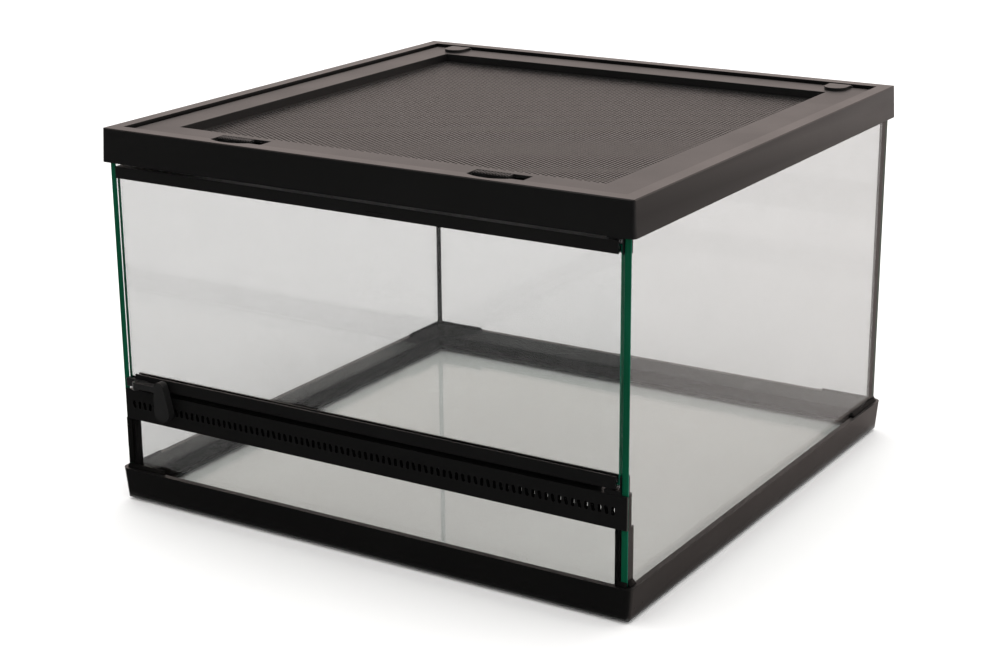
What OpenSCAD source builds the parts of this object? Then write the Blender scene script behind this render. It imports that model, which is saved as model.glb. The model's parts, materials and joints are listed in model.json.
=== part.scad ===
// Glass reptile terrarium with a hinged front door, a vent strip and a mesh lid.
// Millimetres, +Z up, front face towards -Y. The origin is the centre of the footprint,
// on the surface that the terrarium stands on.

/* [Overall] */
// Width of the two plastic frames at their widest edges
outer_w = 452; // [360:1:900]
// Depth of the two plastic frames at their widest edges
outer_d = 452; // [360:1:600]
// Height from the table to the top of the rim
outer_h = 295.5; // [240:0.5:600]
// Radius of the base frame's vertical corners at its upper edge
base_corner_r = 6; // [4:0.5:8]
// Radius of the top frame's vertical corners at its lower edge
top_corner_r = 4; // [2.5:0.5:8]

/* [Base frame] */
// Height of the base frame
base_h = 25; // [16:0.5:40]
// Width of the shelf under the floor glass
base_ledge_w = 11.5; // [10:0.5:40]
// Thickness of the shelf under the floor glass
base_ledge_t = 2; // [1.5:0.1:5]

/* [Top frame] */
// Height of the top frame
top_h = 25.7; // [20:0.1:40]
// Thickness of the rim
rim_t = 3; // [2:0.1:4]
// Width of the rim at the sides and the back
rim_side = 12.8; // [11:0.1:16]
// Width of the rim at the front
rim_front = 12.7; // [12:0.1:18]
// Thickness of the wall round the lid recess
recess_wall = 1.3; // [1:0.1:2]
// Width of the shelf that carries the lid
lid_ledge_w = 20; // [12:1:22]
// Thickness of the shelf that carries the lid
lid_ledge_t = 2.2; // [1.5:0.1:3]

/* [Frame walls] */
// Wall of both skirts, which the glass stands against
frame_wall = 4.8; // [4.2:0.1:5.4]
// How far the base frame's faces lean in towards its foot
base_draft = 2.4; // [0.5:0.1:3]
// How far the top frame's faces lean in towards its rim
top_draft = 1.5; // [0.5:0.1:2]
// Chamfer on the outer edges
edge_chamfer = 0.8; // [0.3:0.1:1.2]

/* [Glass] */
// Thickness of the fixed panes
glass_t = 5; // [4:0.5:6]
// Width of the silicone joint between two panes
joint = 0.4; // [0.2:0.1:0.8]
// Leg of the two upright silicone beads at the back
bead_back = 3; // [2:0.5:6]
// Leg of the two upright silicone beads at the front
bead_front = 6.5; // [2:0.5:8]
// Height of the silicone bead round the floor
floor_bead_h = 8; // [4:0.5:12]
// Width of the silicone bead round the floor
floor_bead_w = 6; // [3:0.5:10]
// Width of the silicone strips on the base frame's upper edge
pad_w = 2.4; // [1.5:0.1:2.6]
// Height of those strips
pad_h = 3.2; // [1.5:0.1:6]
// Length of those strips at the back corners
pad_back_l = 50; // [10:1:80]
// Length of those strips at the front left corner
pad_front_l = 36; // [10:1:80]
// Length of those strips at the front right corner
pad_right_l = 8; // [4:1:80]

/* [Vent strip] */
// Height of the vent strip's lower edge above the table
strip_z = 66.5; // [50:0.5:100]
// Height of the vent strip
strip_h = 24.4; // [22:0.2:36]
// How far the strip's face stops short of the left pane's outer face
strip_set_left = 2.2; // [0:0.1:3]
// Thickness of the vent strip's walls
strip_wall = 1.9; // [1.4:0.1:2.4]
// Depth of the channel that grips the fixed window
strip_channel = 6; // [4:0.5:7]
// Depth of the top flange behind the glass line
strip_flange = 8.2; // [7:0.2:16]
// Thickness of the slotted wall behind the strip's face
vent_depth = 2.3; // [1:0.1:4]
// Height of the door stop on the flange
stop_h = 5.5; // [4.6:0.1:8]
// Pitch of the vent slots
vent_pitch = 5.2; // [4.5:0.1:12]
// Width of a vent slot
vent_w = 2.6; // [1.5:0.1:3.2]
// Length of a vent slot
vent_l = 6; // [4:0.1:7.5]
// Height of the slots above the strip's lower edge
vent_rise = 12.6; // [12.4:0.1:14]
// Lean of every second slot, in degrees
vent_lean = 14; // [0:1:20]

/* [Door] */
// Thickness of the door glass
door_glass_t = 5; // [4:0.5:6]
// How far the door's face stands in front of the fixed glass
door_proud = 2.5; // [1.8:0.1:2.8]
// Wall of the door profiles
channel_wall = 1.5; // [1.2:0.1:2]
// Height of the door profiles
channel_h = 9; // [7:0.5:14]
// Web of the door profiles
channel_web = 3; // [2.6:0.1:4]
// Gap at the door's free end
door_gap_free = 1.7; // [1.4:0.1:4]
// Gap between the door's hinged end and the bracket leaf
door_gap_hinge = 0.6; // [0.6:0.1:4]
// How far the door's profiles stop short of its glass at the hinged end
profile_set = 1.9; // [0:0.1:2.4]
// Gap between the vent strip and the door
door_gap_low = 4.4; // [4:0.1:8]
// Gap between the door and the top frame
door_gap_high = 2.7; // [2.6:0.1:5]

/* [Door hinge] */
// Radius of the hinge pins
pin_r = 1.5; // [1:0.1:1.6]
// Running clearance between a pin and its bush
pin_clear = 0.05; // [0.02:0.01:0.08]
// Wall of the bushes
bush_wall = 1; // [0.8:0.1:1.2]
// Radius of the bush flanges
bush_flange_r = 3.4; // [3:0.1:3.6]
// Distance from the hinged end of the door to the hinge axis
hinge_set = 7.7; // [6.5:0.1:14]
// Thickness of the bracket leaf on the side pane
leaf_t = 1; // [0.8:0.1:2]
// Thickness of the lower bracket's ear
ear_low_t = 3; // [2:0.1:3.2]
// Thickness of the upper bracket's ear
ear_high_t = 1.7; // [1.2:0.1:1.8]
// Play between a bracket ear and the bush, and round the latch lever
hinge_play = 0.1; // [0.05:0.05:0.2]
// How far the brackets stand behind the door's face
bracket_set = 0.8; // [0:0.1:0.9]
// Depth of the brackets, front to back
bracket_d = 7; // [6.8:0.1:8]

/* [Latch] */
// Distance from the door's free end to the latch pin
latch_pin_x = 12.3; // [9:0.1:30]
// Radius of the latch pin
latch_pin_r = 1.2; // [0.8:0.1:1.5]
// Running clearance of the latch pin
latch_clear = 0.05; // [0.02:0.01:0.08]
// Depth of the latch lever
lever_d = 6.3; // [5:0.1:6.5]
// Height of the lever's arm
arm_h = 4.8; // [4:0.1:6.5]
// Length from the latch pin to the paddle's centre
arm_l = 24.2; // [16:0.2:60]
// Radius of the paddle's upper end
paddle_top_r = 4.6; // [3.5:0.1:6]
// Radius of the paddle's lower end
paddle_low_r = 7.3; // [5:0.1:9]
// Drop from the paddle's upper centre to its lower centre
paddle_drop = 19.4; // [12:0.1:22]
// Sideways lean of the paddle over that drop
paddle_lean = 2; // [0:0.5:4]
// Height of the arm above the door's lower edge
arm_rise = 0.6; // [0.4:0.1:4]
// Height of the paddle's top above the arm
paddle_rise = 3.8; // [0:0.1:6]
// Thickness of the latch bracket's plate
latch_plate_t = 1.8; // [1.2:0.1:2.4]
// How far that plate runs past the pin
latch_plate_run = 7.5; // [4:0.5:14]
// Thickness of the clip that wraps the door's free end
latch_clip_t = 0.9; // [0.6:0.1:1]
// Thickness of the ear under the lever
latch_ear_t = 1.7; // [1.2:0.1:2]
// Length of the bracket's block on the door glass's lower free corner
latch_corner = 7; // [4:0.5:8.5]

/* [Lid] */
// Step from the rim down to the lid
lid_drop = 2.2; // [1.4:0.1:2.3]
// Thickness of the lid plate
lid_plate_t = 2.2; // [1.8:0.1:2.6]
// Gap between the lid and the recess at the sides
lid_gap_side = 3.4; // [1:0.1:4]
// Gap between the lid and the recess at the front
lid_gap_front = 1; // [0.6:0.1:2]
// Width of the lid's side borders
lid_border_side = 27.5; // [24:0.5:50]
// Width of the lid's front border
lid_border_front = 27; // [24:0.5:60]
// Width of the lid's back border
lid_border_back = 27.5; // [24:0.5:60]
// Depth of the well that holds the mesh, below the lid plate
well_h = 6.2; // [4:0.1:10]
// Wall of the well
well_wall = 2.5; // [1.5:0.1:3]
// Width of the lip under the mesh
mesh_lip = 3; // [2:0.5:6]
// Thickness of that lip
mesh_lip_t = 1.2; // [1:0.1:2]
// Thickness of the mesh sheet
mesh_t = 0.8; // [0.5:0.1:1.2]
// Play round the mesh sheet
mesh_play = 0.3; // [0.1:0.1:0.6]
// Openings of the plain grid across the mesh sheet, each way
mesh_cells = 12; // [4:1:12]
// Width of the bars between those openings
mesh_bar = 9.5; // [4:0.5:12]

/* [Lid hinges] */
// Distance from the frame's side to the middle of a lid hinge
lid_hinge_side = 42; // [32:1:120]
// Width of a hinge leaf
leaf_w = 19; // [14:0.5:26]
// Length of a hinge leaf from the axis to its rounded front
leaf_l = 21; // [14:0.5:28]
// Radius of the hinge barrel
barrel_r = 1.2; // [1.1:0.05:1.3]
// Radius of the lid hinge pins
lid_pin_r = 0.6; // [0.4:0.05:0.7]
// Running clearance of the lid hinge pins
lid_pin_clear = 0.05; // [0.02:0.01:0.08]
// Width of each ear beside a barrel
lid_ear_w = 2.6; // [2:0.1:4]
// Side play between an ear and a barrel
lid_ear_play = 0.3; // [0.2:0.1:0.6]
// Space between the barrel and the recess wall
barrel_gap = 1.7; // [1.65:0.05:2.2]

/* [Lid catches] */
// Distance from the frame's left side to the middle of the left catch's slot
catch_left_side = 113; // [75:1:130]
// Distance from the frame's right side to the middle of the right catch's slot
catch_right_side = 118; // [75:1:130]
// Length of a catch
catch_w = 29; // [20:0.5:34]
// Length of the slot that a catch runs in
catch_slot_w = 44; // [38:0.5:60]
// Width of a catch, front to back
catch_d = 7; // [5:0.1:8]
// Height of a catch
catch_h = 4.2; // [3.6:0.1:4.6]
// Play round a catch
catch_play = 0.3; // [0.2:0.05:0.5]
// Depth of the runner behind a catch
runner_d = 4; // [3.6:0.1:8]
// Depth of the finger scallop in the front rim
scallop_d = 6; // [4:0.5:7]
// Radius of the finger scallop
scallop_r = 30; // [25:1:40]

/* [Hidden] */

$fn = 48;
eps = 0.01;
cut = 5; // overshoot of a cutting tool past the face that it cuts
corner_ease = 0.02; // added to a corner's radius, so that it meets the flat faces in an edge

w2 = outer_w / 2;
d2 = outer_d / 2;

// Glass box
gx = w2 - frame_wall;
gy = d2 - frame_wall;
ix = gx - glass_t;
iy = gy - glass_t;
z_floor = base_ledge_t + glass_t;
silicone_edge = 0.5; // blunt edge of every silicone bead
corner_gap = 0.5; // space between two strips at a corner
bead_gap = 0.3; // space between an upright bead and the shelf or strip above it

// Top frame heights
z_top = outer_h - top_h;
z_rim = outer_h - rim_t;
z_lid = outer_h - lid_drop;
z_ledge = z_lid - lid_plate_t;
z_ledge_low = z_ledge - lid_ledge_t;

// Lid recess, as edges in x and y
rec_x = w2 - rim_side;
rec_y0 = -d2 + rim_front;
rec_y1 = d2 - rim_side;

// Vent strip
strip_top = strip_z + strip_h;
window_top = strip_z + strip_channel;
strip_in = ix - joint;

// Door
door_t = door_glass_t + 2 * channel_wall;
door_y0 = -gy - door_proud;
door_y1 = door_y0 + door_t;
door_yc = door_y0 + door_t / 2;
door_x0 = -ix + door_gap_free;
door_x1 = ix - leaf_t - door_gap_hinge;
door_z0 = strip_top + door_gap_low;
door_z1 = z_top - door_gap_high;
hinge_x = door_x1 - hinge_set;
bush_r = pin_r + pin_clear + bush_wall;
pin_end_gap = 0.3; // space between a hinge pin's end and the door glass
stop_x1 = hinge_x - 10; // the door's hinged end swings behind its face beyond this

// Latch
lpx = door_x0 + latch_pin_x;
lever_y1 = door_y0 - latch_plate_t - hinge_play;
lever_y0 = lever_y1 - lever_d;
lpy = (lever_y0 + lever_y1) / 2;
arm_z0 = door_z0 + arm_rise;
arm_z1 = arm_z0 + arm_h;
paddle_x = lpx + arm_l;
paddle_z = arm_z1 + paddle_rise - paddle_top_r;
latch_ear_z0 = arm_z0 - hinge_play - latch_ear_t;
latch_head_z0 = arm_z1 + hinge_play;
latch_head_t = 0.5; // thickness of the latch pin's head
latch_head_r = latch_pin_r + 0.6; // radius of that head

// Lid
lid_x = rec_x - lid_gap_side;
lid_y0 = rec_y0 + lid_gap_front;
axis_y = rec_y1 - barrel_r - barrel_gap;
axis_z = z_lid;
lid_y1 = axis_y - barrel_r - catch_play;
open_x = lid_x - lid_border_side;
open_y0 = lid_y0 + lid_border_front;
open_y1 = lid_y1 - lid_border_back;
z_well = z_ledge - well_h;
z_mesh = z_well + mesh_lip_t;
leaf_step = barrel_r + 0.4; // distance from the axis to the square end of a leaf
lid_hinge_x = w2 - lid_hinge_side;

// Lid catches
runner_gap = 0.6; // space between a runner and the well
slide_gap = 0.2; // space over and under a runner
rail_t = 1.2; // thickness of the rail under a runner
rail_d = 2.6; // depth of that rail
catch_y1 = open_y0 - well_wall - runner_gap - runner_d;
catch_y0 = catch_y1 - catch_d;
catch_z0 = z_lid - catch_h;
runner_z1 = z_ledge - slide_gap;
rail_z1 = catch_z0 - slide_gap;
function catch_x(side) = side < 0 ? -w2 + catch_left_side : w2 - catch_right_side;

// A box between two corners
module box(a, b) {
  translate(a) cube([b[0] - a[0], b[1] - a[1], b[2] - a[2]]);
}

// Four wedges that lean a frame's outer faces in by draft over the height h.
// up = 1 leans them in towards the top, and up = -1 towards the bottom.
module draft_wedges(h, draft, up) {
  lean = atan(draft / h);
  for (side = [0, 90, 180, 270])
    rotate([0, 0, side]) {
      reach = (side % 180 == 0) ? d2 : w2;
      span = (side % 180 == 0) ? outer_w : outer_d;
      translate([0, -reach, up > 0 ? 0 : h]) rotate([-up * lean, 0, 0])
        translate([-span / 2 - cut, -2 * cut, up > 0 ? -2 * cut : -h - 2 * cut])
          cube([span + 2 * cut, 2 * cut, h + 4 * cut]);
    }
}

// What is cut off a frame's four corners, so that a cone of radius r at its wide end is left
module corner_cuts(h, r, draft, up) {
  taper = up * draft / h;
  r0 = (up > 0 ? r : r - draft) + corner_ease;
  for (side = [0, 90, 180, 270])
    rotate([0, 0, side]) {
      x = (side % 180 == 0 ? w2 : d2) - r;
      y = (side % 180 == 0 ? d2 : w2) - r;
      translate([x, y, -cut]) difference() {
        cube([r + cut, r + cut, h + 2 * cut]);
        cylinder(r1 = r0 + taper * cut, r2 = r0 - taper * (h + cut), h = h + 2 * cut);
      }
    }
}

// A frame's outer block on z = 0
module frame_block(h, r, draft, up) {
  difference() {
    box([-w2, -d2, 0], [w2, d2, h]);
    draft_wedges(h, draft, up);
    corner_cuts(h, r, draft, up);
  }
}

// Four 45 degree cuts along a frame's outer edge at height z
module edge_cuts(z, inset) {
  for (side = [0, 90, 180, 270])
    rotate([0, 0, side]) {
      reach = (side % 180 == 0) ? d2 : w2;
      span = (side % 180 == 0) ? outer_w : outer_d;
      translate([0, -reach + inset, z]) rotate([45, 0, 0])
        cube([span + 2 * cut, edge_chamfer * sqrt(2), edge_chamfer * sqrt(2)], center = true);
    }
}

module base_frame() {
  color("#1f1e1e") difference() {
    frame_block(base_h, base_corner_r, base_draft, -1);
    edge_cuts(0, base_draft);
    box([-gx, -gy, base_ledge_t], [gx, gy, base_h + cut]);
    box([-gx + base_ledge_w, -gy + base_ledge_w, -cut],
        [gx - base_ledge_w, gy - base_ledge_w, base_h]);
  }
}

module floor_glass() {
  color("#c4d4cf", 0.35)
    box([-ix + joint, -iy + joint, base_ledge_t], [ix - joint, iy - joint, z_floor]);
}

module side_glass(side) {
  x0 = side < 0 ? -gx : ix;
  color("#c4d4cf", 0.35) box([x0, -gy, base_ledge_t], [x0 + glass_t, gy, z_rim]);
}

module left_glass() side_glass(-1);

module right_glass() side_glass(1);

module back_glass() {
  color("#c4d4cf", 0.35)
    box([-ix + joint, iy, base_ledge_t], [ix - joint, gy, z_rim]);
}

module window_glass() {
  color("#c4d4cf", 0.35)
    box([-ix + joint, -gy, base_ledge_t], [ix - joint, -iy, window_top]);
}

// One slot of the vent strip, drawn flat
module vent_slot() {
  square([vent_w, vent_l - vent_w], center = true);
  for (s = [-1, 1]) translate([0, s * (vent_l - vent_w) / 2]) circle(r = vent_w / 2, $fn = 16);
}

module vent_strip() {
  run = 2 * strip_in - 2 * vent_w;
  count = floor(run / vent_pitch);
  flange_y1 = -gy + strip_flange;
  color("#141416") difference() {
    union() {
      box([-gx + strip_set_left, -gy - strip_wall, strip_z], [gx, -gy, strip_top]);
      box([-strip_in, -gy - eps, window_top], [strip_in, -gy + vent_depth, strip_top]);
      box([-strip_in, -gy - eps, window_top],
          [strip_in, -iy + strip_wall, window_top + strip_wall]);
      box([-strip_in, -iy, strip_z], [strip_in, -iy + strip_wall, window_top + eps]);
      box([-strip_in, -gy - eps, strip_top - strip_wall], [strip_in, flange_y1, strip_top]);
      box([-strip_in, flange_y1 - strip_wall, strip_top - eps],
          [stop_x1, flange_y1, strip_top + stop_h]);
    }
    for (i = [0 : count])
      translate([(i - count / 2) * vent_pitch, -gy + vent_depth + 1, strip_z + vent_rise])
        rotate([90, 0, 0]) linear_extrude(height = strip_wall + vent_depth + 2)
          rotate(i % 2 == 0 ? vent_lean : 0) vent_slot();
  }
}

// Plan of the finger scallop at x: an arc cut into the rim from the recess
module scallop_plan(x) {
  intersection() {
    translate([x, rec_y0 - scallop_d + scallop_r]) circle(r = scallop_r, $fn = 96);
    translate([x - scallop_r, rec_y0 - scallop_d - 1]) square([2 * scallop_r, scallop_d + 1 + eps]);
  }
}

module lid_ear(x) {
  difference() {
    union() {
      box([x, axis_y - barrel_r, z_ledge], [x + lid_ear_w, rec_y1 + eps, axis_z]);
      translate([x, axis_y, axis_z]) rotate([0, 90, 0]) cylinder(r = barrel_r, h = lid_ear_w);
    }
    translate([x - 1, axis_y, axis_z]) rotate([0, 90, 0])
      cylinder(r = lid_pin_r, h = lid_ear_w + 2, $fn = 24);
  }
}

module top_frame() {
  color("#1b1a1a") {
    difference() {
      union() {
        difference() {
          translate([0, 0, z_top]) frame_block(top_h, top_corner_r, top_draft, 1);
          edge_cuts(outer_h, top_draft);
          box([-gx, -gy, z_top - cut], [gx, gy, z_rim]);
        }
        box([-rec_x - recess_wall, rec_y0 - recess_wall, z_ledge_low],
            [rec_x + recess_wall, rec_y1 + recess_wall, z_rim + eps]);
      }
      box([-rec_x, rec_y0, z_ledge], [rec_x, rec_y1, outer_h + cut]);
      box([-rec_x + lid_ledge_w, rec_y0 + lid_ledge_w, z_ledge_low - cut],
          [rec_x - lid_ledge_w, rec_y1 - lid_ledge_w, outer_h]);
      for (side = [-1, 1]) {
        x = catch_x(side);
        translate([0, 0, z_ledge_low - cut]) linear_extrude(height = outer_h)
          scallop_plan(x);
        box([x - catch_slot_w / 2 - 1, rec_y0 - eps, z_ledge_low - cut],
            [x + catch_slot_w / 2 + 1, rec_y0 + lid_ledge_w + eps, z_ledge + eps]);
      }
    }
    for (side = [-1, 1], end = [-1, 1])
      lid_ear(side * lid_hinge_x + end * (leaf_w / 2 - lid_ear_w / 2) - lid_ear_w / 2);
  }
}

// The bead round the floor: a wedge up the walls, and the joint round the floor glass
module silicone_floor() {
  z1 = z_floor + floor_bead_h;
  color("#101010") difference() {
    box([-ix, -iy, base_ledge_t], [ix, iy, z1]);
    box([-ix + joint, -iy + joint, base_ledge_t - cut], [ix - joint, iy - joint, z_floor]);
    hull() {
      box([-ix + floor_bead_w, -iy + floor_bead_w, z_floor - eps],
          [ix - floor_bead_w, iy - floor_bead_w, z_floor]);
      box([-ix + silicone_edge, -iy + silicone_edge, z1],
          [ix - silicone_edge, iy - silicone_edge, z1 + 1]);
    }
  }
}

// An upright bead in a corner of the glass box, with the joint beside the pane's end
module corner_bead(sx, sy, leg, z1) {
  z0 = z_floor + floor_bead_h;
  color("#101010") {
    translate([sx * ix, sy * iy, z0]) linear_extrude(height = z1 - z0)
      polygon([[0, sy * eps], [-sx * joint, sy * eps], [-sx * joint, 0], [-sx * leg, 0],
               [-sx * leg, -sy * silicone_edge], [-sx * silicone_edge, -sy * leg],
               [0, -sy * leg]]);
    xs = sx > 0 ? ix - joint : -ix;
    ys = sy > 0 ? iy : -gy;
    box([xs, ys, base_ledge_t], [xs + joint, ys + glass_t, z1]);
    if (sy < 0) box([xs, -gy, z1 - eps], [xs + joint, -gy + strip_flange, strip_top]);
  }
}

module silicone_back_left() corner_bead(-1, 1, bead_back, z_ledge_low - bead_gap);

module silicone_back_right() corner_bead(1, 1, bead_back, z_ledge_low - bead_gap);

// The left one also covers the pane's front edge
module silicone_front_left() {
  z0 = base_h + pad_h + bead_gap;
  z1 = strip_z - bead_gap;
  corner_bead(-1, -1, bead_front, z1);
  color("#101010") {
    box([-gx, -gy - silicone_edge, z0], [-ix + joint, -gy, z1]);
    box([-ix, -gy - silicone_edge, z0], [-ix + joint, -gy + eps, z1]);
  }
}

module silicone_front_right() corner_bead(1, -1, bead_front, strip_z - bead_gap);

// A strip along +X on the base frame's upper edge, with the glass behind it at y = 0
module pad(len) {
  rotate([90, 0, 90]) linear_extrude(height = len)
    polygon([[0, 0], [-pad_w, 0], [-pad_w, silicone_edge], [-silicone_edge, pad_h], [0, pad_h]]);
}

module silicone_corner_pads() {
  color("#0c0c0c") {
    translate([-gx, -gy, base_h]) pad(pad_front_l);
    translate([gx - pad_right_l, -gy, base_h]) pad(pad_right_l);
    translate([gx, -gy + corner_gap, base_h]) rotate([0, 0, 90]) pad(pad_right_l);
    translate([-gx, -gy + corner_gap + pad_front_l, base_h]) rotate([0, 0, -90]) pad(pad_front_l);
    translate([gx, gy - corner_gap - pad_back_l, base_h]) rotate([0, 0, 90]) pad(pad_back_l);
    translate([-gx, gy - corner_gap, base_h]) rotate([0, 0, -90]) pad(pad_back_l);
    for (side = [-1, 1])
      translate([side < 0 ? -gx + pad_back_l : gx, gy, base_h]) rotate([0, 0, 180]) pad(pad_back_l);
  }
}

module door_glass() {
  color("#c4d4cf", 0.35)
    box([door_x0, door_y0 + channel_wall, door_z0 + channel_web],
        [door_x1, door_y1 - channel_wall, door_z1 - channel_web]);
}

// A U profile for the door from x0, with its web at height z and its lips pointing to dir
module door_profile(x0, z, dir) {
  z0 = dir > 0 ? z : z - channel_h;
  zs = dir > 0 ? z + channel_web : z - channel_h - cut;
  zb = dir > 0 ? z - cut : z - channel_web;
  color("#121214") difference() {
    box([x0, door_y0, z0], [door_x1 - profile_set, door_y1, z0 + channel_h]);
    box([x0 - cut, door_y0 + channel_wall, zs],
        [door_x1 + cut, door_y1 - channel_wall, zs + channel_h - channel_web + cut]);
    translate([hinge_x, door_yc, zb]) cylinder(r = bush_r, h = channel_web + cut);
  }
}

module door_top_profile() door_profile(door_x0, door_z1, -1);

module door_bottom_profile() door_profile(door_x0 + latch_corner, door_z0, 1);

// An L bracket on the side pane's inner face, with the ear that holds the hinge pin
module hinge_bracket(ear_z0, ear_t, leaf_z0, leaf_z1) {
  y0 = door_y0 + bracket_set;
  y1 = y0 + bracket_d;
  color("#18181a") difference() {
    union() {
      box([ix - leaf_t, y0, leaf_z0], [ix, y1, leaf_z1]);
      box([hinge_x - bush_flange_r, y0, ear_z0], [ix, y1, ear_z0 + ear_t]);
    }
    translate([hinge_x, door_yc, ear_z0 - cut]) cylinder(r = pin_r, h = ear_t + 2 * cut);
  }
}

module upper_hinge_bracket()
  hinge_bracket(z_top - ear_high_t, ear_high_t, door_z1 - channel_h, z_top);

module lower_hinge_bracket()
  hinge_bracket(strip_top, ear_low_t, strip_top, door_z0 + channel_h);

module upper_hinge_pin() {
  z0 = door_z1 - channel_web + pin_end_gap;
  color("silver") translate([hinge_x, door_yc, z0]) cylinder(r = pin_r, h = z_top - z0);
}

module lower_hinge_pin() {
  z1 = door_z0 + channel_web - pin_end_gap;
  color("silver") translate([hinge_x, door_yc, strip_top]) cylinder(r = pin_r, h = z1 - strip_top);
}

// A flanged bush in the door profile's web: its flange fills the space up to the ear
module hinge_bush(z_in, z_face, z_flange) {
  color("#1b1b1c") translate([hinge_x, door_yc, 0]) rotate_extrude()
    polygon([[pin_r + pin_clear, z_in], [bush_r, z_in], [bush_r, z_face],
             [bush_flange_r, z_face], [bush_flange_r, z_flange], [pin_r + pin_clear, z_flange]]);
}

module upper_hinge_bush()
  hinge_bush(door_z1 - channel_web, door_z1, z_top - ear_high_t - hinge_play);

module lower_hinge_bush()
  hinge_bush(door_z0 + channel_web, door_z0, strip_top + ear_low_t + hinge_play);

// The block on the door's lower free corner, with the ear that holds the latch pin
module latch_bracket() {
  plate_y0 = door_y0 - latch_plate_t;
  clip_x0 = door_x0 - latch_clip_t;
  ear_r = lever_d / 2;
  color("#2a2929") difference() {
    union() {
      box([clip_x0, plate_y0, latch_ear_z0], [lpx + latch_plate_run, door_y0, arm_z1]);
      box([clip_x0, door_y0 - eps, arm_z0], [door_x0 + latch_corner, door_y1, arm_z1]);
      box([lpx - ear_r, lpy, latch_ear_z0], [lpx + ear_r, plate_y0 + eps, latch_ear_z0 + latch_ear_t]);
      translate([lpx, lpy, latch_ear_z0]) cylinder(r = ear_r, h = latch_ear_t);
    }
    box([door_x0, door_y0 + channel_wall, door_z0 + channel_web],
        [door_x0 + latch_corner + cut, door_y1 - channel_wall, arm_z1 + cut]);
    translate([lpx, lpy, latch_ear_z0 - cut]) cylinder(r = latch_pin_r, h = latch_ear_t + 2 * cut);
  }
}

module latch_pin() {
  color("#555555") translate([lpx, lpy, 0]) rotate_extrude()
    polygon([[0, latch_ear_z0], [latch_pin_r, latch_ear_z0], [latch_pin_r, latch_head_z0],
             [latch_head_r, latch_head_z0], [latch_head_r, latch_head_z0 + latch_head_t],
             [0, latch_head_z0 + latch_head_t]]);
}

// The lever: an arm with a round end about its pin, and a hanging finger paddle
module latch_lever() {
  low_x = paddle_x + paddle_lean;
  low_z = paddle_z - paddle_drop;
  color("#242424") difference() {
    union() {
      translate([lpx, lpy, arm_z0]) cylinder(r = lever_d / 2, h = arm_h);
      box([lpx, lever_y0, arm_z0], [paddle_x, lever_y1, arm_z1]);
      translate([0, lever_y1, 0]) rotate([90, 0, 0]) linear_extrude(height = lever_d) hull() {
        translate([paddle_x, paddle_z]) circle(r = paddle_top_r, $fn = 32);
        translate([low_x, low_z]) circle(r = paddle_low_r, $fn = 32);
      }
    }
    translate([lpx, lpy, arm_z0 - cut])
      cylinder(r = latch_pin_r + latch_clear, h = arm_h + 2 * cut);
  }
}

module lid_frame() {
  color("#242120") difference() {
    union() {
      box([-lid_x, lid_y0, z_ledge], [lid_x, lid_y1, z_lid]);
      box([-open_x - well_wall, open_y0 - well_wall, z_well],
          [open_x + well_wall, open_y1 + well_wall, z_ledge + eps]);
      for (side = [-1, 1]) {
        x = catch_x(side);
        box([x - catch_slot_w / 2, open_y0 - well_wall - rail_d, rail_z1 - rail_t],
            [x + catch_slot_w / 2, open_y0 - well_wall + eps, rail_z1]);
      }
    }
    box([-open_x, open_y0, z_mesh], [open_x, open_y1, outer_h + cut]);
    box([-open_x + mesh_lip, open_y0 + mesh_lip, z_well - cut],
        [open_x - mesh_lip, open_y1 - mesh_lip, outer_h]);
    for (side = [-1, 1]) {
      x = catch_x(side);
      box([x - catch_slot_w / 2, lid_y0 - cut, z_ledge - eps],
          [x + catch_slot_w / 2, catch_y1 + catch_play, z_lid + cut]);
    }
  }
}

// The mesh sheet, as a plain grid of square openings with solid bars between them
module lid_mesh() {
  w = 2 * (open_x - mesh_play);
  d = open_y1 - open_y0 - 2 * mesh_play;
  step_x = (w - mesh_bar) / mesh_cells;
  step_y = (d - mesh_bar) / mesh_cells;
  color("#5a5552") translate([-w / 2, open_y0 + mesh_play, z_mesh])
    linear_extrude(height = mesh_t) difference() {
      square([w, d]);
      for (i = [0 : mesh_cells - 1], j = [0 : mesh_cells - 1])
        translate([mesh_bar + i * step_x, mesh_bar + j * step_y])
          square([step_x - mesh_bar, step_y - mesh_bar]);
    }
}

// A D-shaped leaf on the lid, with the barrel that turns on the hinge pin
module lid_hinge_leaf(x) {
  barrel_w = leaf_w - 2 * lid_ear_w - 2 * lid_ear_play;
  leaf_r = leaf_w / 2;
  y_round = axis_y - leaf_l + leaf_r;
  color("#2b2827") difference() {
    union() {
      translate([x, y_round, z_lid]) cylinder(r = leaf_r, h = lid_drop);
      box([x - leaf_r, y_round, z_lid], [x + leaf_r, axis_y - leaf_step, outer_h]);
      box([x - barrel_w / 2, axis_y - leaf_step - eps, z_lid],
          [x + barrel_w / 2, axis_y, z_lid + barrel_r - 0.2]);
      translate([x - barrel_w / 2, axis_y, axis_z]) rotate([0, 90, 0])
        cylinder(r = barrel_r, h = barrel_w);
    }
    translate([x - leaf_w, axis_y, axis_z]) rotate([0, 90, 0])
      cylinder(r = lid_pin_r + lid_pin_clear, h = 2 * leaf_w, $fn = 24);
  }
}

module lid_hinge_leaf_left() lid_hinge_leaf(-lid_hinge_x);

module lid_hinge_leaf_right() lid_hinge_leaf(lid_hinge_x);

module lid_hinge_pins() {
  color("silver") for (side = [-1, 1])
    translate([side * lid_hinge_x - leaf_w / 2, axis_y, axis_z]) rotate([0, 90, 0])
      cylinder(r = lid_pin_r, h = leaf_w, $fn = 24);
}

// A sliding catch: a block in the lid's slot and a runner under the lid plate
module lid_catch(side) {
  x0 = catch_x(side) - catch_slot_w / 2 + catch_play;
  color("#1d1b1b") {
    box([x0, catch_y0, catch_z0], [x0 + catch_w, catch_y1, z_lid]);
    box([x0, catch_y1 - eps, catch_z0], [x0 + catch_w, catch_y1 + runner_d, runner_z1]);
  }
}

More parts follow.
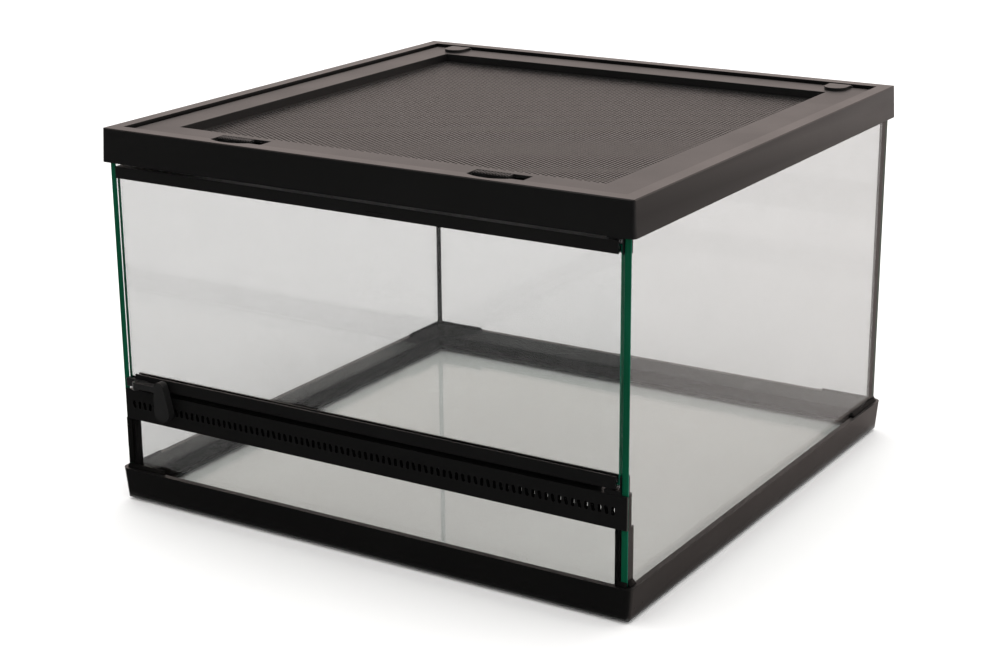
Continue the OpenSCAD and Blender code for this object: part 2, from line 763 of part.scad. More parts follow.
module lid_catch_left() lid_catch(-1);

module lid_catch_right() lid_catch(1);

base_frame();
floor_glass();
left_glass();
right_glass();
back_glass();
window_glass();
vent_strip();
top_frame();
silicone_floor();
silicone_back_left();
silicone_back_right();
silicone_front_left();
silicone_front_right();
silicone_corner_pads();
door_glass();
door_top_profile();
door_bottom_profile();
upper_hinge_bracket();
lower_hinge_bracket();
upper_hinge_pin();
lower_hinge_pin();
upper_hinge_bush();
lower_hinge_bush();
latch_bracket();
latch_pin();
latch_lever();
lid_frame();
lid_mesh();
lid_hinge_leaf_left();
lid_hinge_leaf_right();
lid_hinge_pins();
lid_catch_left();
lid_catch_right();
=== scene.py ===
# %% [markdown]
# # A glass terrarium with a mesh lid
# The real object is a low glass box, 45 cm square. Two black plastic frames hold five bonded
# panes, a slotted strip carries a frameless glass door, and a lid with a fine steel mesh lies
# in the top frame. The construction comes in as a fixed frame of solids at their real size.
# This script gives every solid its finish, and builds anew the pieces whose looks need more
# than the solid has: rounded edges, green glass edges, a real perforated sheet, wavy sealant.

# %% Load the frame
import json
import math
import bmesh
import bpy
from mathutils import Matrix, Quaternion, Vector, noise


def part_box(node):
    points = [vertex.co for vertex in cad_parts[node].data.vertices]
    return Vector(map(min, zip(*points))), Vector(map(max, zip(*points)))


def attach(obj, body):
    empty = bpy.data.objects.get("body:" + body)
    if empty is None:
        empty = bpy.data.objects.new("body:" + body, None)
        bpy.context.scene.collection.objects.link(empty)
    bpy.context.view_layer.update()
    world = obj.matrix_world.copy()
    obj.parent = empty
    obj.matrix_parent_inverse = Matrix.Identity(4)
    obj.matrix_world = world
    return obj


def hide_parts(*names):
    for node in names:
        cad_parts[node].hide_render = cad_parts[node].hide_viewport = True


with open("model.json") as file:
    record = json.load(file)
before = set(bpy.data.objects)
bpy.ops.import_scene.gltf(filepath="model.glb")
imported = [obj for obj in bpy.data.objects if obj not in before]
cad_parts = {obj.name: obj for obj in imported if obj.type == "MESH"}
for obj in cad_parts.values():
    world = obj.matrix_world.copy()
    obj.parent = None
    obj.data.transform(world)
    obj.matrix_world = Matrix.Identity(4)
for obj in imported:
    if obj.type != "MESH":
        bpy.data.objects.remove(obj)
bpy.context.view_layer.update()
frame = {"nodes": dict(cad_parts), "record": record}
MM = 0.001
bodies = frame["record"]["behaviour"]["bodies"]
body_of = {node: body for body, nodes in bodies.items() for node in nodes}

# %% [markdown]
# ## Camera
# The picture was taken from the front right, a little above the lid, from about 1.7 m away
# with a long lens. The place and the lens were worked out from the edges of the two frames,
# which are parallel on the real object. Blender's camera looks along its own -Z, so the
# rotation is built from the viewing direction, with a small turn because it wasn't quite level.

# %% Camera
CAMERA_PLACE = Vector((0.8162, -1.3433, 0.6077))
CAMERA_DIRECTION = Vector((-0.5019, 0.8104, -0.3022))
CAMERA_ROLL = -0.0070
SENSOR_MM = 36.0
LENS_MM = 73.61

lens = bpy.data.cameras.new("camera")
lens.lens = LENS_MM
lens.sensor_width = SENSOR_MM
lens.clip_end = 50.0
camera = bpy.data.objects.new("camera", lens)
camera.location = CAMERA_PLACE
level = CAMERA_DIRECTION.to_track_quat("-Z", "Y")
camera.rotation_euler = (level @ Quaternion((0, 0, 1), CAMERA_ROLL)).to_euler()
bpy.context.scene.collection.objects.link(camera)
bpy.context.scene.camera = camera
print("camera distance", round(CAMERA_PLACE.length, 3))

# %% [markdown]
# ## Writing shader maths as Python
# A node tree is easier to read as an expression. `Socket` wraps one output of a node and
# overloads the operators, so `0.4 + 0.2 * grain` adds two Math nodes. Any other node comes from
# `Graph.node`, which takes the node's type, its settings, and the values or links of its
# sockets. Settings go first, because a Mix node shows other sockets once its type is set.

# %% Sockets and node trees
class Socket:
    """One number or colour on its way through a node tree."""

    def __init__(self, graph, link):
        self.graph, self.link = graph, link

    def _math(self, operation, first, second):
        return self.graph.node("ShaderNodeMath", {"operation": operation}, {0: first, 1: second})

    def __add__(self, other):
        return self._math("ADD", self, other)

    def __radd__(self, other):
        return self._math("ADD", other, self)

    def __sub__(self, other):
        return self._math("SUBTRACT", self, other)

    def __rsub__(self, other):
        return self._math("SUBTRACT", other, self)

    def __mul__(self, other):
        return self._math("MULTIPLY", self, other)

    def __rmul__(self, other):
        return self._math("MULTIPLY", other, self)


class Graph:
    """A node tree that is filled by one method."""

    def __init__(self, tree):
        self.tree = tree

    def node(self, kind, settings, inputs, output=0):
        made = self.tree.nodes.new(kind)
        for key, value in settings.items():
            setattr(made, key, value)
        for key, value in inputs.items():
            self.feed(self._find(made.inputs, key), value)
        return Socket(self, self._find(made.outputs, output))

    def _find(self, sockets, key):
        if isinstance(key, int):
            return sockets[key]
        return next(s for s in sockets if s.enabled and s.name == key)

    def feed(self, socket, value):
        if isinstance(value, Socket):
            self.tree.links.new(value.link, socket)
        else:
            socket.default_value = value

    def ramp(self, value, low, high, start=0.0, end=1.0):
        """start below low, end above high, and even in between."""
        sockets = {"Value": value, "From Min": low, "From Max": high, "To Min": start, "To Max": end}
        return self.node("ShaderNodeMapRange", {"clamp": True}, sockets, "Result")

    def mix(self, factor, first, second):
        sockets = {"Factor": factor, "A": first, "B": second}
        return self.node("ShaderNodeMix", {"data_type": "RGBA"}, sockets, "Result")


# %% [markdown]
# ## A finish is one Principled shader
# Every surface here gets its own material with one Principled shader. Its constants are set on
# the shader's sockets, and what varies over the surface is written as an expression. The noise
# is laid out in the piece's own coordinates, in millimetres, so a grain is as wide on screen as
# on the real thing, and it stays on the piece when the piece moves.

# %% Finishes
class Finish(Graph):
    """A material with one Principled shader, whose varying values are written as expressions."""

    def __init__(self, name, **constants):
        self.material = bpy.data.materials.new(name)
        self.material.use_nodes = True
        super().__init__(self.material.node_tree)
        self.shader = self.tree.nodes["Principled BSDF"]
        self.set(**constants)
        self.place = self.node("ShaderNodeTexCoord", {}, {}, "Object")

    def set(self, **sockets):
        for socket, value in sockets.items():
            self.feed(self.shader.inputs[socket.replace("_", " ")], value)

    def noise(self, scale_mm, detail=3.0, stretch=(1, 1, 1)):
        """Smooth noise from 0 to 1 whose blobs are about scale_mm wide."""
        sockets = {0: self.place, 1: stretch}
        place = self.node("ShaderNodeVectorMath", {"operation": "MULTIPLY"}, sockets)
        sockets = {"Vector": place, "Scale": 1 / (scale_mm * MM), "Detail": detail}
        return self.node("ShaderNodeTexNoise", {}, sockets, "Fac")

    def bump(self, height, depth_mm):
        sockets = {"Height": height, "Distance": depth_mm * MM}
        self.set(Normal=self.node("ShaderNodeBump", {}, sockets, "Normal"))


def grey(value, warm=0.0):
    """A linear grey, a little red and short of blue when warm is above 0."""
    return (value * (1 + warm), value, value * (1 - warm), 1.0)


def dimmed(colour, share):
    """The colour times share, with full alpha."""
    return tuple(share * v for v in colour[:3]) + (1.0,)


print("a middle grey", grey(0.5), "and its half", dimmed(grey(0.5), 0.5))

# %% [markdown]
# ## Black moulded plastic
# The frames and the lid are injection moulded in black, with a fine spark-eroded grain. Seen
# at a low angle they mirror the pale room, so their tops look grey-brown and their fronts
# nearly black. That is gloss, not colour: the base colour stays close to black, and the grain
# goes into the bump and the roughness. Wide, faint noise stands for handling marks, and where
# a fine noise peaks there is a speck of dust.

# %% Plastics
HANDLING_MM = 60
DUST_MM = 1.1
DUST_PEAKS = (0.70, 0.78)
DUST_TONE = 0.12


def moulded(name, tone, warm, roughness, grain_mm=0.5, dust=0.08):
    finish = Finish(name, IOR=1.5)
    grain = finish.noise(grain_mm, detail=2.0)
    cloud = finish.noise(HANDLING_MM, detail=4.0)
    specks = finish.ramp(finish.noise(DUST_MM, detail=1.0), *DUST_PEAKS)
    wear = finish.ramp(cloud, 0.35, 0.7)
    base = finish.mix(wear, grey(tone, warm), grey(tone * 1.5, warm))
    finish.set(Base_Color=finish.mix(specks * dust, base, grey(DUST_TONE, warm)))
    finish.set(Roughness=roughness - 0.05 * wear + 0.07 * (grain - 0.5) + specks * 0.1)
    finish.bump(grain + 0.15 * cloud, 0.012)
    return finish.material


base_plastic = moulded("base_plastic", 0.002, 0.03, 0.36)
top_plastic = moulded("top_plastic", 0.001, 0.0, 0.34, dust=0.04)
lid_plastic = moulded("lid_plastic", 0.0035, 0.04, 0.40, grain_mm=0.7)
latch_plastic = moulded("latch_plastic", 0.007, 0.0, 0.38, grain_mm=0.4)
catch_plastic = moulded("catch_plastic", 0.003, 0.0, 0.42, grain_mm=0.4)
bush_plastic = moulded("bush_plastic", 0.004, 0.0, 0.4)
moulded_finishes = (base_plastic, top_plastic, lid_plastic, latch_plastic, catch_plastic, bush_plastic)
print("moulded finishes", len(moulded_finishes))

# %% [markdown]
# ## Extruded plastic and punched slots
# The door profiles and the vent strip are pushed through a die, so their surface is smoother
# and carries very faint lines along their length, here along X. Noise that is stretched a
# hundredfold along X gives those lines. The strip's slots are punched afterwards, and a punch
# tears as it cuts, so the walls of the slots are matt. Their colour is painted darker than the
# strip's, as painted shade inside the slots, and their low IOR keeps them from mirroring light.

# %% Extruded profiles
def extruded(name, tone, roughness):
    finish = Finish(name, IOR=1.5)
    lines = finish.noise(1.6, detail=2.0, stretch=(0.01, 1, 1))
    cloud = finish.noise(35, detail=3.0)
    finish.set(Base_Color=finish.mix(cloud, grey(tone), grey(tone * 1.6)))
    finish.set(Roughness=roughness + 0.08 * (lines - 0.5) + 0.06 * (cloud - 0.5))
    finish.bump(lines, 0.01)
    return finish.material


# Partly painted shade: the torn walls are matt, and their colour is darker than the strip's for the
# shade inside the slots.
def punched(name):
    finish = Finish(name, IOR=1.1)
    tear = finish.noise(0.3, detail=2.0)
    # painted shade: the slot walls are coloured darker than the strip around them
    finish.set(Base_Color=finish.mix(tear, grey(0.0005), grey(0.002)))
    finish.set(Roughness=0.8 + 0.2 * tear)
    finish.bump(tear, 0.01)
    return finish.material


profile_plastic = extruded("profile_plastic", 0.0025, 0.30)
slot_wall_painted_shade = punched("slot_wall_painted_shade")
print("nodes in the extruded finish", len(profile_plastic.node_tree.nodes))

# %% [markdown]
# ## Glass
# Float glass is clear through its faces and deep green through its cut edges, where light has
# travelled a long way in the iron-bearing glass. A shader that absorbs light along its path
# could do both, but slowly and with much noise. So each pane has two finishes: a faintly
# grey, transmitting one for the faces, and an opaque green one for the ground edges. Fine
# smudges change the roughness of the faces a little. Light that only fills the tank passes the
# faces unbent, which keeps the inside bright and free of speckles: a Mix Shader hands shadow
# rays and diffuse rays to a plain transparent shader.

# %% Glass finishes
FILL_TINT = (0.95, 0.96, 0.95, 1.0)


def pane_face(name, tint):
    finish = Finish(name, IOR=1.5, Transmission_Weight=1.0)
    smudge = finish.ramp(finish.noise(45, detail=5.0), 0.5, 0.8)
    finish.set(Base_Color=finish.mix(smudge, tint, dimmed(tint, 0.985)))
    finish.set(Roughness=0.004 + 0.012 * smudge)
    filling = (finish.node("ShaderNodeLightPath", {}, {}, "Is Shadow Ray")
               + finish.node("ShaderNodeLightPath", {}, {}, "Is Diffuse Ray"))
    unbent = finish.node("ShaderNodeBsdfTransparent", {}, {"Color": FILL_TINT}, "BSDF")
    glass = Socket(finish, finish.shader.outputs["BSDF"])
    shown = finish.node("ShaderNodeMixShader", {}, {0: filling, 1: glass, 2: unbent}, "Shader")
    finish.feed(finish.tree.nodes["Material Output"].inputs["Surface"], shown)
    return finish.material


def pane_edge(name, deep, light):
    finish = Finish(name, IOR=1.15)
    streak = finish.noise(9, detail=4.0, stretch=(1, 1, 0.12))
    chips = finish.noise(0.8, detail=2.0)
    finish.set(Base_Color=finish.mix(finish.ramp(streak, 0.35, 0.75), deep, light))
    finish.set(Roughness=0.3 + 0.2 * chips)
    finish.bump(chips, 0.01)
    return finish.material


clear_glass = pane_face("clear_glass", (0.705, 0.705, 0.703, 1.0))
floor_glass = pane_face("floor_glass", (0.97, 0.975, 0.975, 1.0))
green_edge = pane_edge("green_edge", (0.0, 0.034, 0.015, 1.0), (0.0, 0.052, 0.024, 1.0))
arris = pane_edge("ground_arris", (0.0, 0.07, 0.04, 1.0), (0.01, 0.12, 0.08, 1.0))
print("nodes in a pane's face finish", len(clear_glass.node_tree.nodes))

# %% [markdown]
# ## Sealant and steel
# The panes are bonded with black silicone. A nozzle and then a finger are drawn along the
# joint, which leaves faint streaks in that direction, so there is one finish for each of the
# three directions that a bead runs in. The mesh is steel sheet with a dark coat, and the pins
# are bright drawn steel.

# %% Sealant and metal finishes
def sealant(name, stretch):
    """Black silicone with streaks along the axis where stretch is small."""
    finish = Finish(name, IOR=1.16)
    drawn = finish.noise(4.0, detail=1.0, stretch=stretch)
    cloud = finish.noise(30, detail=2.0)
    finish.set(Base_Color=finish.mix(cloud, grey(0.0015), grey(0.004, 0.1)))
    finish.set(Roughness=0.36 + 0.22 * drawn)
    finish.bump(drawn, 0.03)
    return finish.material


def coated_sheet(name):
    finish = Finish(name, IOR=1.5)
    coat = finish.noise(0.9, detail=3.0)
    cloud = finish.noise(80, detail=3.0)
    finish.set(Base_Color=finish.mix(cloud, grey(0.004, 0.06), grey(0.009, 0.06)))
    finish.set(Roughness=0.33 + 0.12 * (coat - 0.5))
    finish.bump(coat, 0.02)
    return finish.material


def drawn_steel(name):
    finish = Finish(name, IOR=2.5, Metallic=1.0)
    scratches = finish.noise(0.4, detail=3.0)
    finish.set(Base_Color=finish.mix(scratches, grey(0.42), grey(0.6)))
    finish.set(Roughness=0.22 + 0.2 * scratches)
    finish.bump(scratches, 0.004)
    return finish.material


silicone_across = sealant("silicone_across", (0.02, 1, 1))
silicone_deep = sealant("silicone_deep", (1, 0.02, 1))
silicone_upright = sealant("silicone_upright", (1, 1, 0.02))
mesh_steel = coated_sheet("coated_mesh")
pin_steel = drawn_steel("pin_steel")
print("nodes in the sealant finish", len(silicone_deep.node_tree.nodes))

# %% [markdown]
# ## Rounding the moulded pieces
# No moulded edge is sharp. A rounded edge catches a thin line of light, and that line is what
# makes plastic look real. Each solid is copied, its flat triangles are joined into whole
# faces, and a Bevel modifier rounds every edge sharper than 30 degrees. The copy then stands
# for the solid, and rides on the same body.

# %% Helpers for pieces
WELD = 1e-6
FLAT_DEGREES = 0.5
EDGE_DEGREES = 30


def new_piece(name, mesh):
    piece = bpy.data.objects.new(name, mesh)
    bpy.context.scene.collection.objects.link(piece)
    return piece


def dress(piece, node, *materials):
    """Lets piece stand for a node, on that node's body, with these finishes."""
    slots = piece.data.materials
    for number, material in enumerate(materials):
        if number < len(slots):
            slots[number] = material
        else:
            slots.append(material)
    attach(piece, body_of[node])
    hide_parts(node)
    return piece


def copied(node):
    """A copy of a solid's mesh, and the same as a bmesh whose seams are welded."""
    mesh = frame["nodes"][node].data.copy()
    shape = bmesh.new()
    shape.from_mesh(mesh)
    bmesh.ops.remove_doubles(shape, verts=shape.verts, dist=WELD)
    return mesh, shape


def smoothed(mesh, shape):
    """Puts the bmesh into the mesh, shaded smooth, without the solid's own normals."""
    shape.to_mesh(mesh)
    shape.free()
    if "custom_normal" in mesh.attributes:
        mesh.attributes.remove(mesh.attributes["custom_normal"])
    for face in mesh.polygons:
        face.use_smooth = True


def rounded(node, material, radius_mm, segments=3):
    mesh, shape = copied(node)
    flat = math.radians(FLAT_DEGREES)
    bmesh.ops.dissolve_limit(shape, angle_limit=flat, verts=shape.verts, edges=shape.edges)
    smoothed(mesh, shape)
    piece = new_piece(node + "_body", mesh)
    bevel = piece.modifiers.new("soft_edges", "BEVEL")
    bevel.width = radius_mm * MM
    bevel.segments = segments
    bevel.limit_method = "ANGLE"
    bevel.angle_limit = math.radians(EDGE_DEGREES)
    bevel.use_clamp_overlap = True
    bevel.harden_normals = True
    return dress(piece, node, material)


# %% [markdown]
# ## Which piece gets which edge
# A big frame comes out of its tool with edges of half a millimetre, a door profile is rounder,
# and turned pins are nearly sharp. One table holds the finish, the radius in millimetres and
# the number of steps round each edge. Wide radii get more steps.

# %% Moulded, extruded and turned pieces
ROUNDED_PIECES = (
    (base_plastic, 0.5, 3, ("base_frame",)),
    (top_plastic, 0.35, 3, ("top_frame",)),
    (lid_plastic, 0.3, 3, ("lid_frame",)),
    (profile_plastic, 0.2, 2, ("vent_strip",)),
    (profile_plastic, 0.7, 4, ("door_top_profile", "door_bottom_profile")),
    (profile_plastic, 0.25, 3, ("upper_hinge_bracket", "lower_hinge_bracket")),
    (latch_plastic, 0.3, 4, ("latch_bracket",)),
    (latch_plastic, 0.6, 4, ("latch_lever",)),
    (lid_plastic, 0.3, 3, ("lid_hinge_leaf_left", "lid_hinge_leaf_right")),
    (bush_plastic, 0.1, 2, ("upper_hinge_bush", "lower_hinge_bush")),
    (pin_steel, 0.15, 2, ("upper_hinge_pin", "lower_hinge_pin", "lid_hinge_pins")),
    (latch_plastic, 0.15, 2, ("latch_pin",)),
)

made = {}
for material, radius_mm, segments, nodes in ROUNDED_PIECES:
    for node in nodes:
        made[node] = rounded(node, material, radius_mm, segments)
print("rounded pieces", len(made))

# %% [markdown]
# ## The walls of the slots
# The slots are cut in the solid already. Their walls are the faces at the slots' height that
# don't look to the front or the back, apart from the strip's own two ends, and they take the
# punched finish with its painted shade. Finding them by height and direction is simpler than
# cutting them anew.

# %% Slot walls
SLOT_ROW = (75.8, 82.4)
SLOT_REACH = 214.0

strip = made["vent_strip"].data
strip.materials.append(slot_wall_painted_shade)
for face in strip.polygons:
    at_height = SLOT_ROW[0] * MM < face.center.z < SLOT_ROW[1] * MM
    is_wall = at_height and abs(face.center.x) < SLOT_REACH * MM and abs(face.normal.y) < 0.5
    face.material_index = int(is_wall)
print("faces of slot walls", sum(face.material_index for face in strip.polygons))

# %% [markdown]
# ## Ribbed catches
# A fingertip slides each catch, so its top is ribbed across the way that it moves. The solid's
# top is lowered by the depth of the grooves, and the ribs stand on it as small blocks that end
# at the solid's height. The block is 7 mm deep, and its runner goes on behind it, lower down.

# %% Catches
RIB_PITCH = 2.4
RIB_WIDTH = 1.3
RIB_DEPTH = 0.6
RIB_INSET = 0.4
CATCH_DEPTH = 7.0


def block(shape, low, high):
    """Adds a box between two corners to a bmesh."""
    corners = bmesh.ops.create_cube(shape, size=1.0)["verts"]
    bmesh.ops.scale(shape, vec=Vector(high) - Vector(low), verts=corners)
    bmesh.ops.translate(shape, vec=(Vector(high) + Vector(low)) / 2, verts=corners)


def ribbed(node, material):
    piece = rounded(node, material, 0.2)
    low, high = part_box(node)
    floor_z = high.z - RIB_DEPTH * MM
    front_y = low.y + RIB_INSET * MM
    back_y = low.y + (CATCH_DEPTH - RIB_INSET) * MM
    shape = bmesh.new()
    shape.from_mesh(piece.data)
    for vert in shape.verts:
        vert.co.z = min(vert.co.z, floor_z)
    ribs = 0
    x = low.x + RIB_PITCH / 2 * MM
    while x + RIB_WIDTH * MM < high.x:
        foot = (x, front_y, floor_z - RIB_DEPTH * MM)
        block(shape, foot, (x + RIB_WIDTH * MM, back_y, high.z))
        x += RIB_PITCH * MM
        ribs += 1
    shape.to_mesh(piece.data)
    shape.free()
    print(node, "ribs", ribs)


for node in ("lid_catch_left", "lid_catch_right"):
    ribbed(node, catch_plastic)

# %% [markdown]
# ## Ejector marks
# The pins that push a moulded frame out of its tool leave small round marks. Two of them show
# on the base frame's right face, close to the front corner. Each is a flat dome that stands a
# fifth of a millimetre out of the leaning face. The face is 1.85 mm behind the frame's widest
# edge at that height.

# %% Marks
MARK_RADIUS = 1.1
MARK_FLATNESS = 0.4
MARK_HEIGHT = 8.0
MARK_SETBACKS = (10.0, 22.0)
FACE_SETBACK = 1.85

base_low, base_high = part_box("base_frame")
for number, setback in enumerate(MARK_SETBACKS):
    shape = bmesh.new()
    bmesh.ops.create_uvsphere(shape, u_segments=24, v_segments=12, radius=MARK_RADIUS * MM)
    bmesh.ops.scale(shape, vec=(MARK_FLATNESS, 1.0, 1.0), verts=shape.verts)
    mesh = bpy.data.meshes.new("ejector_mark")
    shape.to_mesh(mesh)
    shape.free()
    mark = new_piece(f"ejector_mark_{number}", mesh)
    mark.data.materials.append(base_plastic)
    mark.location = (base_high.x - FACE_SETBACK * MM, base_low.y + setback * MM, MARK_HEIGHT * MM)
    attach(mark, "enclosure")
print("ejector marks", len(MARK_SETBACKS))

# %% [markdown]
# ## Panes
# Each pane is cut from 5 mm float glass, and its edges are ground with a small arris so that
# they don't cut fingers. A pane is a box with every edge chamfered. The chamfers and the four
# cut sides take the edge finishes, and the two large faces take the clear one. The window and
# the back pane stand between the side panes with black sealant on their ends, and behind
# sealant no green shows, so those ends are black.

# %% Panes
ARRIS_MM = 0.35
BONDED_ENDS = ("window_glass", "back_glass")
FACE, EDGE, CHAMFER, BONDED = range(4)


def pane(node):
    low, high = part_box(node)
    size = high - low
    thin = min(range(3), key=lambda axis: size[axis])
    shape = bmesh.new()
    block(shape, low, high)
    bmesh.ops.bevel(shape, geom=shape.edges, offset=ARRIS_MM * MM, segments=1,
                    affect="EDGES", profile=0.5)
    for face in shape.faces:
        along = [abs(component) for component in face.normal]
        if along[thin] > 0.99:
            face.material_index = FACE
        else:
            face.material_index = EDGE if max(along) > 0.99 else CHAMFER
        if node in BONDED_ENDS and along[0] > 0.5:
            face.material_index = BONDED
    mesh = bpy.data.meshes.new(node + "_pane")
    shape.to_mesh(mesh)
    shape.free()
    clear = floor_glass if node == "floor_glass" else clear_glass
    return dress(new_piece(node + "_pane", mesh), node, clear, green_edge, arris, silicone_upright)


panes = [pane(node) for node in frame["nodes"] if node.endswith("_glass")]
print("panes", len(panes))

# %% [markdown]
# ## The mesh
# The mesh in the lid is steel sheet punched with round holes in a staggered pattern. Its
# pitch was found from the photo: rows 3.35 mm apart and holes 3.87 mm apart along a row, as in
# any triangular pattern with one pitch. Each hole is real geometry, so light falls through it
# and the near wall of every hole is seen. One cell is a hexagon with an eight-sided hole, and
# the cells meet at their corners. Plain hexagons fill the row ends, and four plain strips, a
# hair thinner than the sheet, lap them and make the border, as punched sheet has it.

# %% One cell of the sheet
HOLE_PITCH = 3.87
HOLE_RADIUS = 1.36
ROW_STEP = HOLE_PITCH * math.sqrt(3) / 2


def ring(count, radius):
    """Points round a circle."""
    turns = [2 * math.pi * k / count for k in range(count)]
    return [(radius * math.cos(turn), radius * math.sin(turn)) for turn in turns]


HEXAGON = ring(6, HOLE_PITCH / math.sqrt(3))
HOLE = ring(8, HOLE_RADIUS)
HOLED_FACES = [(0, 6, 7), (0, 7, 1), (1, 7, 8), (1, 8, 2), (2, 8, 9), (2, 9, 10, 3), (3, 10, 11),
               (3, 11, 4), (4, 11, 12), (4, 12, 5), (5, 12, 13), (5, 13, 6, 0)]
PLAIN_FACES = [(5, 4, 3, 2, 1, 0)]


def cell(points, faces, x, y, low_z, high_z, holed):
    """Adds one hexagon of the sheet, with or without its hole."""
    start = len(points)
    outline = HEXAGON + HOLE if holed else HEXAGON
    under = len(outline)
    for z in (high_z, low_z):
        points += [((x + a) * MM, (y + b) * MM, z) for a, b in outline]
    for face in HOLED_FACES if holed else PLAIN_FACES:
        faces.append([start + i for i in reversed(face)])
        faces.append([start + under + i for i in face])
    if holed:
        first = start + len(HEXAGON)
        for k in range(len(HOLE)):
            near, far = first + k, first + (k + 1) % len(HOLE)
            faces.append([near, far, far + under, near + under])


print("a holed cell has", 2 * len(HOLED_FACES) + len(HOLE), "faces")

# %% The whole sheet
SHEET_BORDER = 3.2
STRIP_SINK = 0.02
STRIP_LAP = 0.3


def perforated_sheet(node):
    low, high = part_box(node)
    width, depth = (high.x - low.x) / MM, (high.y - low.y) / MM
    columns = int((width - 2 * SHEET_BORDER) / ROW_STEP)
    rows = int((depth - 2 * SHEET_BORDER) / HOLE_PITCH)
    left = (low.x + high.x) / 2 / MM - (columns - 1) * ROW_STEP / 2
    front = (low.y + high.y) / 2 / MM - (rows - 1) * HOLE_PITCH / 2
    points, faces = [], []
    for column in range(columns):
        x = left + column * ROW_STEP
        shift = (column % 2 - 0.5) * HOLE_PITCH / 2
        for row in range(rows):
            cell(points, faces, x, front + row * HOLE_PITCH + shift, low.z, high.z, True)
        end = -1 if column % 2 else rows
        cell(points, faces, x, front + end * HOLE_PITCH + shift, low.z, high.z, False)
    mesh = bpy.data.meshes.new("mesh_sheet")
    mesh.from_pydata(points, [], faces)
    shape = bmesh.new()
    shape.from_mesh(mesh)
    bottom, top = low.z + STRIP_SINK * MM, high.z - STRIP_SINK * MM
    near_x = (left - HOLE_RADIUS - STRIP_LAP) * MM
    near_y = (front - HOLE_PITCH * 0.75 + STRIP_LAP) * MM
    far_x, far_y = -near_x, low.y + high.y - near_y
    block(shape, (low.x, low.y, bottom), (near_x, high.y, top))
    block(shape, (far_x, low.y, bottom), (high.x, high.y, top))
    block(shape, (near_x, low.y, bottom), (far_x, near_y, top))
    block(shape, (near_x, far_y, bottom), (far_x, high.y, top))
    shape.to_mesh(mesh)
    shape.free()
    print("holes", columns * rows, "columns", columns, "rows", rows)
    return mesh


dress(new_piece("mesh_sheet", perforated_sheet("lid_mesh")), "lid_mesh", mesh_steel)

# %% [markdown]
# ## Sealant beads
# A bead of silicone is squeezed into each corner and smoothed with a finger, which leaves a
# hollow, slightly wavy surface. The solids are plain wedges, so they are cut finer here and
# their free faces are pushed in and out by smooth noise of a few tenths of a millimetre.
# Where a bead lies on a pane it has wetted the glass, with no air in between, so nothing
# mirrors there and the bead looks black through the pane. To get that, the points on a pane's
# face are sunk a twentieth of a millimetre into the glass.

# %% Beads
CUT_MM = 6.0
CUT_PASSES = 7
WAVE_MM = 0.25
WAVES_PER_METRE = 60.0
WAVE_HOLLOW = 0.3
SKIN_MM = 0.05
TOUCH_MM = 0.02

side_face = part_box("right_glass")[0].x
back_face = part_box("back_glass")[0].y
window_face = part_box("window_glass")[1].y


def wetting(point):
    """Axis and new place of each coordinate that lies on a pane's face."""
    side = math.copysign(1, point.x)
    pane_faces = ((0, side * side_face, side), (1, back_face, 1), (1, window_face, -1))
    return [(axis, face + outward * SKIN_MM * MM) for axis, face, outward in pane_faces
            if abs(point[axis] - face) < TOUCH_MM * MM]


def cut_finer(shape):
    for _ in range(CUT_PASSES):
        long_edges = [edge for edge in shape.edges if edge.calc_length() > CUT_MM * MM]
        if not long_edges:
            break
        bmesh.ops.subdivide_edges(shape, edges=long_edges, cuts=1)
    bmesh.ops.triangulate(shape, faces=shape.faces)
    shape.normal_update()


def bead(node):
    mesh, shape = copied(node)
    cut_finer(shape)
    low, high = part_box(node)
    for vert in shape.verts:
        wave = noise.noise(vert.co * WAVES_PER_METRE) - WAVE_HOLLOW
        moved = vert.co + vert.normal * wave * WAVE_MM * MM
        moved = Vector([min(max(moved[k], low[k]), high[k]) for k in range(3)])
        for axis, place in wetting(vert.co):
            moved[axis] = place
        vert.co = moved
    for face in shape.faces:
        runs_deep = abs(face.normal.x) > abs(face.normal.y)
        face.material_index = int(runs_deep) if node == "silicone_floor" else 2
    smoothed(mesh, shape)
    piece = new_piece(node + "_bead", mesh)
    return dress(piece, node, silicone_across, silicone_deep, silicone_upright)


beads = [bead(node) for node in frame["nodes"] if node.startswith("silicone_")]
print("beads", len(beads))

# %% [markdown]
# ## Studio
# The floor is plain and nearly white, and one large soft light hangs above and behind the
# object. Two cards lie on the floor, where only mirrored light sees them, as a photographer's
# flags would keep the floor's glare off the faces: a black one in front, so that the front
# faces stay black, and a warm grey one at the right, which gives the right faces their
# grey-brown sheen.

# %% Floor, cards and light
WARM_MIRROR = (0.95, 0.81, 0.76, 1.0)
RIGHT_CARD_TONE = 0.34
FLOOR_Z = -0.002
CARD_Z = 0.001
CARD_EDGE = 0.2248


def stage_plane(name, size, place, material):
    bpy.ops.mesh.primitive_plane_add(size=1.0, location=place)
    plane = bpy.context.object
    plane.name = name
    plane.scale = (size[0], size[1], 1.0)
    plane.data.materials.append(material)
    return plane


def paint(name, colour):
    finish = Finish(name, Roughness=0.9)
    mottling = finish.noise(300, detail=2.0)
    finish.set(Base_Color=finish.mix(mottling, colour, dimmed(colour, 0.98)))
    return finish.material


def card(name, size, place, value):
    """A card on the floor that only mirrored light sees."""
    plane = stage_plane(name, size, place, paint(name + "_paint", value))
    plane.visible_camera = plane.visible_diffuse = False
    plane.visible_shadow = plane.visible_transmission = False


stage_plane("floor", (30, 30), (0, 0, FLOOR_Z), paint("floor_paint", grey(0.9)))
card("black_card", (9.0, 5.0), (-1.5, -CARD_EDGE - 2.5, CARD_Z), grey(0.005))
card("grey_card", (2.4, 3.0), (CARD_EDGE + 1.2, 1.275, CARD_Z), dimmed(WARM_MIRROR, RIGHT_CARD_TONE))

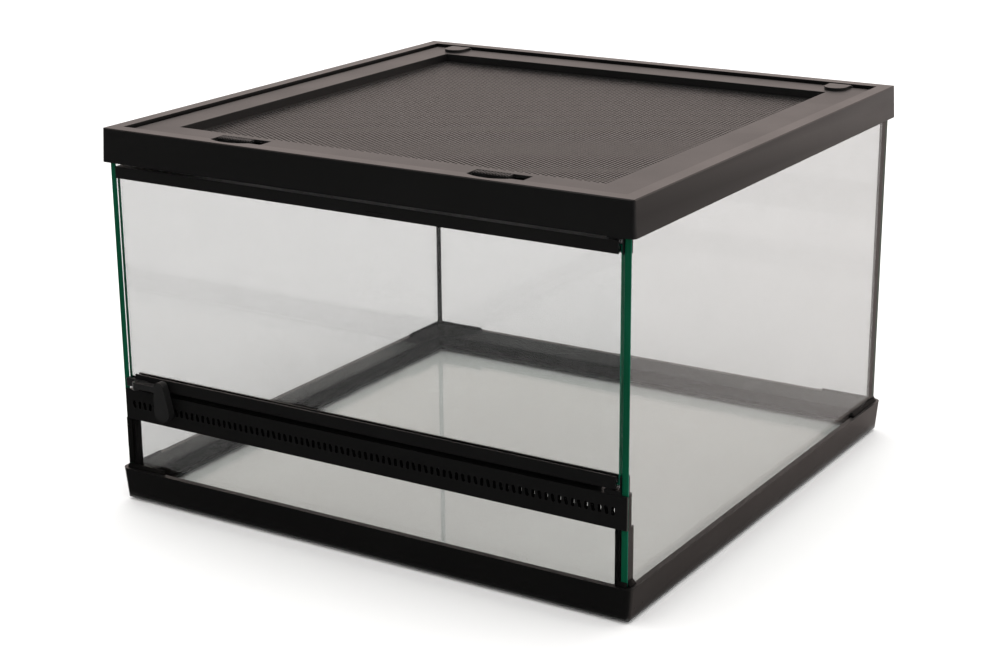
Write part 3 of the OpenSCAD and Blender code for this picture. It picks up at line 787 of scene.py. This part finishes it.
softbox_place = Vector((-0.3, 0.6, 2.4))
softbox_target = Vector((0, 0, 0.1))
softbox = bpy.data.lights.new("top_softbox", "AREA")
softbox.shape = "RECTANGLE"
softbox.size, softbox.size_y = 2.6, 2.2
softbox.energy = 20
lamp = bpy.data.objects.new("top_softbox", softbox)
lamp.location = softbox_place
lamp.rotation_euler = (softbox_target - softbox_place).to_track_quat("-Z", "Y").to_euler()
bpy.context.scene.collection.objects.link(lamp)
print("softbox is", round((softbox_place - softbox_target).length, 2), "m away")

# %% [markdown]
# ## Surroundings
# The room lights everything evenly from all sides, which a uniform world does. Mirrored light
# sees another room: warm and pale behind and above the object, and dark in front of it, as in
# a studio where only the far wall is lit. The two are told apart by the Light Path node, and
# the change from pale to dark follows the direction that the light comes from.

# %% Surroundings
BRIGHT_SIDE = (0.35, 0.75, 0.25)
SIDE_SPAN = 0.45
ROOM_LIGHT = 1.4
ROOM_WHITE = (1.0, 0.99, 0.98, 1.0)

world = bpy.data.worlds.new("studio")
bpy.context.scene.world = world
world.use_nodes = True
sky = Graph(world.node_tree)
direction = sky.node("ShaderNodeTexCoord", {}, {}, "Generated")
facing = sky.node("ShaderNodeVectorMath", {"operation": "DOT_PRODUCT"},
                  {0: direction, 1: BRIGHT_SIDE}, "Value")
mirrored = sky.node("ShaderNodeLightPath", {}, {}, "Is Glossy Ray")
seen_room = sky.ramp(facing, -SIDE_SPAN, SIDE_SPAN, 0.02, 1.0)
background = world.node_tree.nodes["Background"]
sky.feed(background.inputs["Strength"], ROOM_LIGHT - mirrored * (ROOM_LIGHT - seen_room))
sky.feed(background.inputs["Color"], sky.mix(mirrored, ROOM_WHITE, WARM_MIRROR))
print("world nodes", len(world.node_tree.nodes))

# %% [markdown]
# ## Tones
# The plain Standard view keeps the blacks black and lets the white floor clip, as it does in
# the picture.

# %% Tones
view = bpy.context.scene.view_settings
view.view_transform = "Standard"
view.look = "None"
